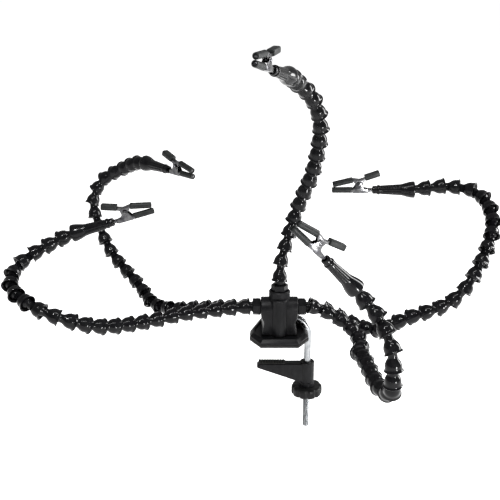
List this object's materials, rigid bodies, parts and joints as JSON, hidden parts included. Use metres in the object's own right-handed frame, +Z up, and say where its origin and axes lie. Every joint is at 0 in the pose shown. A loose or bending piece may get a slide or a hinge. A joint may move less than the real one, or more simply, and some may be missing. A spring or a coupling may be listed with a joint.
{
  "type": "helping hands clamp",
  "caption": "Bench clamp with flexible ball-and-socket arms, each ending in a nozzle and a rubber-sleeved spring clip that holds small work for soldering.",
  "frame": {"origin": "centre of the foot's underside, on the table top", "axes": "+Z up; +X towards the clamp rod and its bend over the table edge; -Y to the front"},
  "size_m": [0.4969, 0.3541, 0.4441],
  "materials": {
    "hub_plastic": "satin moulded black",
    "pad_rubber": "matte black",
    "rod_steel": "bright zinc plate",
    "hardware_steel": "bright zinc plate",
    "jaw_plastic": "satin moulded black",
    "knob_plastic": "satin moulded black",
    "connector_plastic": "glossy moulded black",
    "arm_plastic": "glossy moulded black",
    "clip_steel": "bright nickel plate",
    "clip_rubber": "satin black"
  },
  "bodies": {
    "hub": {"hub_body": "hub_plastic", "foot_plate": "hub_plastic", "foot_pad": "pad_rubber", "clamp_rod": "rod_steel", "rod_set_screw": "hardware_steel", "top_connector": "connector_plastic", "left_front_connector": "connector_plastic", "left_rear_connector": "connector_plastic", "right_front_connector": "connector_plastic", "right_rear_connector": "connector_plastic"},
    "jaw": {"clamp_jaw": "jaw_plastic", "jaw_pad": "pad_rubber", "thrust_washer": "jaw_plastic"},
    "knob": {"knob": "knob_plastic", "knob_nut": "hardware_steel"},
    "top_lower_arm": {"top_links_1": "arm_plastic"},
    "top_middle_arm": {"top_links_2": "arm_plastic"},
    "top_upper_arm": {"top_links_3": "arm_plastic"},
    "top_nozzle": {"top_nozzle": "arm_plastic"},
    "top_clip": {"top_clip_body": "clip_steel", "top_clip_pin": "clip_steel", "top_fixed_jaw_sleeve": "clip_rubber"},
    "top_clip_lever": {"top_clip_lever": "clip_steel", "top_moving_jaw_sleeve": "clip_rubber"},
    "left_front_lower_arm": {"left_front_links_1": "arm_plastic"},
    "left_front_middle_arm": {"left_front_links_2": "arm_plastic"},
    "left_front_upper_arm": {"left_front_links_3": "arm_plastic"},
    "left_front_nozzle": {"left_front_nozzle": "arm_plastic"},
    "left_front_clip": {"left_front_clip_body": "clip_steel", "left_front_clip_pin": "clip_steel", "left_front_fixed_jaw_sleeve": "clip_rubber"},
    "left_front_clip_lever": {"left_front_clip_lever": "clip_steel", "left_front_moving_jaw_sleeve": "clip_rubber"},
    "left_rear_lower_arm": {"left_rear_links_1": "arm_plastic"},
    "left_rear_middle_arm": {"left_rear_links_2": "arm_plastic"},
    "left_rear_upper_arm": {"left_rear_links_3": "arm_plastic"},
    "left_rear_nozzle": {"left_rear_nozzle": "arm_plastic"},
    "left_rear_clip": {"left_rear_clip_body": "clip_steel", "left_rear_clip_pin": "clip_steel", "left_rear_fixed_jaw_sleeve": "clip_rubber"},
    "left_rear_clip_lever": {"left_rear_clip_lever": "clip_steel", "left_rear_moving_jaw_sleeve": "clip_rubber"},
    "right_front_lower_arm": {"right_front_links_1": "arm_plastic"},
    "right_front_middle_arm": {"right_front_links_2": "arm_plastic"},
    "right_front_upper_arm": {"right_front_links_3": "arm_plastic"},
    "right_front_nozzle": {"right_front_nozzle": "arm_plastic"},
    "right_front_clip": {"right_front_clip_body": "clip_steel", "right_front_clip_pin": "clip_steel", "right_front_fixed_jaw_sleeve": "clip_rubber"},
    "right_front_clip_lever": {"right_front_clip_lever": "clip_steel", "right_front_moving_jaw_sleeve": "clip_rubber"},
    "right_rear_lower_arm": {"right_rear_links_1": "arm_plastic"},
    "right_rear_middle_arm": {"right_rear_links_2": "arm_plastic"},
    "right_rear_upper_arm": {"right_rear_links_3": "arm_plastic"},
    "right_rear_nozzle": {"right_rear_nozzle": "arm_plastic"},
    "right_rear_clip": {"right_rear_clip_body": "clip_steel", "right_rear_clip_pin": "clip_steel", "right_rear_fixed_jaw_sleeve": "clip_rubber"},
    "right_rear_clip_lever": {"right_rear_clip_lever": "clip_steel", "right_rear_moving_jaw_sleeve": "clip_rubber"}
  },
  "joints": [
    {"name": "jaw_slide", "type": "slide", "parent": "hub", "child": "jaw", "axis": [0, 0, 1], "range_m": [-0.034, 0.034]},
    {"name": "knob_turn", "type": "hinge", "parent": "jaw", "child": "knob", "pos_m": [0.0324, 0.022, -0.0734], "axis": [0, 0, 1], "range_deg": [-10050, 10050]},
    {"name": "top_root_bend", "type": "hinge", "parent": "hub", "child": "top_lower_arm", "pos_m": [0, 0, 0.0708], "axis": [0.9323, -0.3617, 0], "range_deg": [-11, 38]},
    {"name": "top_lower_bend", "type": "hinge", "parent": "top_lower_arm", "child": "top_middle_arm", "pos_m": [0.02472, 0.00927, 0.16125], "axis": [0.7993, 0.601, 0], "range_deg": [-28, 21]},
    {"name": "top_upper_bend", "type": "hinge", "parent": "top_middle_arm", "child": "top_upper_arm", "pos_m": [0.03698, -0.02011, 0.23528], "axis": [0.0987, 0.93, 0.3539], "range_deg": [-14, 35]},
    {"name": "top_nozzle_bend", "type": "hinge", "parent": "top_upper_arm", "child": "top_nozzle", "pos_m": [0.00171, -0.08077, 0.29426], "axis": [-0.9301, 0.3674, 0], "range_deg": [-22, 27]},
    {"name": "top_clip_swivel", "type": "hinge", "parent": "top_nozzle", "child": "top_clip", "pos_m": [-0.01249, -0.11671, 0.30463], "axis": [-0.3548, -0.8983, 0.2593], "continuous": true},
    {"name": "top_clip_lever_hinge", "type": "hinge", "parent": "top_clip", "child": "top_clip_lever", "pos_m": [-0.01701, -0.12816, 0.31466], "axis": [-0.9301, 0.3674, 0], "range_deg": [0, 22], "stiffness_Nm_per_rad": 0.15, "springref_deg": -28.65},
    {"name": "left_front_root_bend", "type": "hinge", "parent": "hub", "child": "left_front_lower_arm", "pos_m": [-0.0363, 0, 0.0362], "axis": [0, 0.063, -0.998], "range_deg": [-14, 24]},
    {"name": "left_front_lower_bend", "type": "hinge", "parent": "left_front_lower_arm", "child": "left_front_middle_arm", "pos_m": [-0.15384, -0.05205, 0.03986], "axis": [-0.6202, 0.7844, 0], "range_deg": [-28, 21]},
    {"name": "left_front_upper_bend", "type": "hinge", "parent": "left_front_middle_arm", "child": "left_front_upper_arm", "pos_m": [-0.24626, -0.08785, 0.08012], "axis": [0.4395, 0.088, 0.8939], "range_deg": [-2, 40]},
    {"name": "left_front_nozzle_bend", "type": "hinge", "parent": "left_front_upper_arm", "child": "left_front_nozzle", "pos_m": [-0.20558, -0.02196, 0.12778], "axis": [0.0514, 0.9987, 0], "range_deg": [-31, 17]},
    {"name": "left_front_clip_swivel", "type": "hinge", "parent": "left_front_nozzle", "child": "left_front_clip", "pos_m": [-0.16741, -0.02393, 0.13957], "axis": [0.9543, -0.0491, 0.2949], "continuous": true},
    {"name": "left_front_clip_lever_hinge", "type": "hinge", "parent": "left_front_clip", "child": "left_front_clip_lever", "pos_m": [-0.15548, -0.02454, 0.15006], "axis": [-0.0514, -0.9987, 0], "range_deg": [0, 22], "stiffness_Nm_per_rad": 0.15, "springref_deg": -28.65},
    {"name": "left_rear_root_bend", "type": "hinge", "parent": "hub", "child": "left_rear_lower_arm", "pos_m": [-0.0363, 0.018, 0.03], "axis": [0.1024, -0.0089, -0.9947], "range_deg": [-24, 19]},
    {"name": "left_rear_lower_bend", "type": "hinge", "parent": "left_rear_lower_arm", "child": "left_rear_middle_arm", "pos_m": [-0.14707, 0.07522, 0.01349], "axis": [-0.5801, -0.6098, 0.54], "range_deg": [-9, 37]},
    {"name": "left_rear_upper_bend", "type": "hinge", "parent": "left_rear_middle_arm", "child": "left_rear_upper_arm", "pos_m": [-0.21567, 0.14457, 0.09387], "axis": [-0.3154, -0.8939, 0.3186], "range_deg": [-10, 39]},
    {"name": "left_rear_nozzle_bend", "type": "hinge", "parent": "left_rear_upper_arm", "child": "left_rear_nozzle", "pos_m": [-0.14644, 0.10698, 0.16514], "axis": [-0.7455, -0.6666, 0], "range_deg": [-17, 31]},
    {"name": "left_rear_clip_swivel", "type": "hinge", "parent": "left_rear_nozzle", "child": "left_rear_clip", "pos_m": [-0.11979, 0.07717, 0.16602], "axis": [0.6664, -0.7453, 0.0221], "continuous": true},
    {"name": "left_rear_clip_lever_hinge", "type": "hinge", "parent": "left_rear_clip", "child": "left_rear_clip_lever", "pos_m": [-0.11022, 0.06647, 0.17284], "axis": [-0.7455, -0.6666, 0], "range_deg": [0, 22], "stiffness_Nm_per_rad": 0.15, "springref_deg": -28.65},
    {"name": "right_front_root_bend", "type": "hinge", "parent": "hub", "child": "right_front_lower_arm", "pos_m": [0.0363, 0, 0.0362], "axis": [0, 0.9997, 0.0236], "range_deg": [-40, 2]},
    {"name": "right_front_lower_bend", "type": "hinge", "parent": "right_front_lower_arm", "child": "right_front_middle_arm", "pos_m": [0.08021, -0.07762, 0.01662], "axis": [0.9754, 0.1439, 0.1671], "range_deg": [-39, 10]},
    {"name": "right_front_upper_bend", "type": "hinge", "parent": "right_front_middle_arm", "child": "right_front_upper_arm", "pos_m": [0.0953, -0.16988, 0.02969], "axis": [0.9206, 0.2905, 0.2609], "range_deg": [-1, 40]},
    {"name": "right_front_nozzle_bend", "type": "hinge", "parent": "right_front_upper_arm", "child": "right_front_nozzle", "pos_m": [0.05818, -0.15867, 0.12514], "axis": [0.7535, -0.1373, 0.643], "range_deg": [-40, 4]},
    {"name": "right_front_clip_swivel", "type": "hinge", "parent": "right_front_nozzle", "child": "right_front_clip", "pos_m": [0.03195, -0.16762, 0.15398], "axis": [-0.6559, -0.2238, 0.7209], "continuous": true},
    {"name": "right_front_clip_lever_hinge", "type": "hinge", "parent": "right_front_clip", "child": "right_front_clip_lever", "pos_m": [0.02687, -0.16936, 0.16893], "axis": [-0.3229, 0.9464, 0], "range_deg": [0, 22], "stiffness_Nm_per_rad": 0.15, "springref_deg": -28.65},
    {"name": "right_rear_root_bend", "type": "hinge", "parent": "hub", "child": "right_rear_lower_arm", "pos_m": [0.0363, 0.018, 0.03], "axis": [0, -0.9716, -0.2368], "range_deg": [-8, 40]},
    {"name": "right_rear_lower_bend", "type": "hinge", "parent": "right_rear_lower_arm", "child": "right_rear_middle_arm", "pos_m": [0.13442, -0.0379, 0.04247], "axis": [-0.4697, -0.8828, 0], "range_deg": [-20, 29]},
    {"name": "right_rear_upper_bend", "type": "hinge", "parent": "right_rear_middle_arm", "child": "right_rear_upper_arm", "pos_m": [0.21102, -0.02569, 0.12833], "axis": [0.6402, 0.3712, -0.6725], "range_deg": [-12, 37]},
    {"name": "right_rear_nozzle_bend", "type": "hinge", "parent": "right_rear_upper_arm", "child": "right_rear_nozzle", "pos_m": [0.13786, 0.03789, 0.15487], "axis": [-0.0248, 0.9997, 0], "range_deg": [-29, 20]},
    {"name": "right_rear_clip_swivel", "type": "hinge", "parent": "right_rear_nozzle", "child": "right_rear_clip", "pos_m": [0.09788, 0.0369, 0.155], "axis": [-0.9997, -0.0248, 0.0034], "continuous": true},
    {"name": "right_rear_clip_lever_hinge", "type": "hinge", "parent": "right_rear_clip", "child": "right_rear_clip_lever", "pos_m": [0.0834, 0.03654, 0.16155], "axis": [-0.0248, 0.9997, 0], "range_deg": [0, 22], "stiffness_Nm_per_rad": 0.15, "springref_deg": -28.65}
  ],
  "couplings": [
    {"joint": "knob_turn", "follows": "jaw_slide", "rad_per_m": 5026.5}
  ]
}
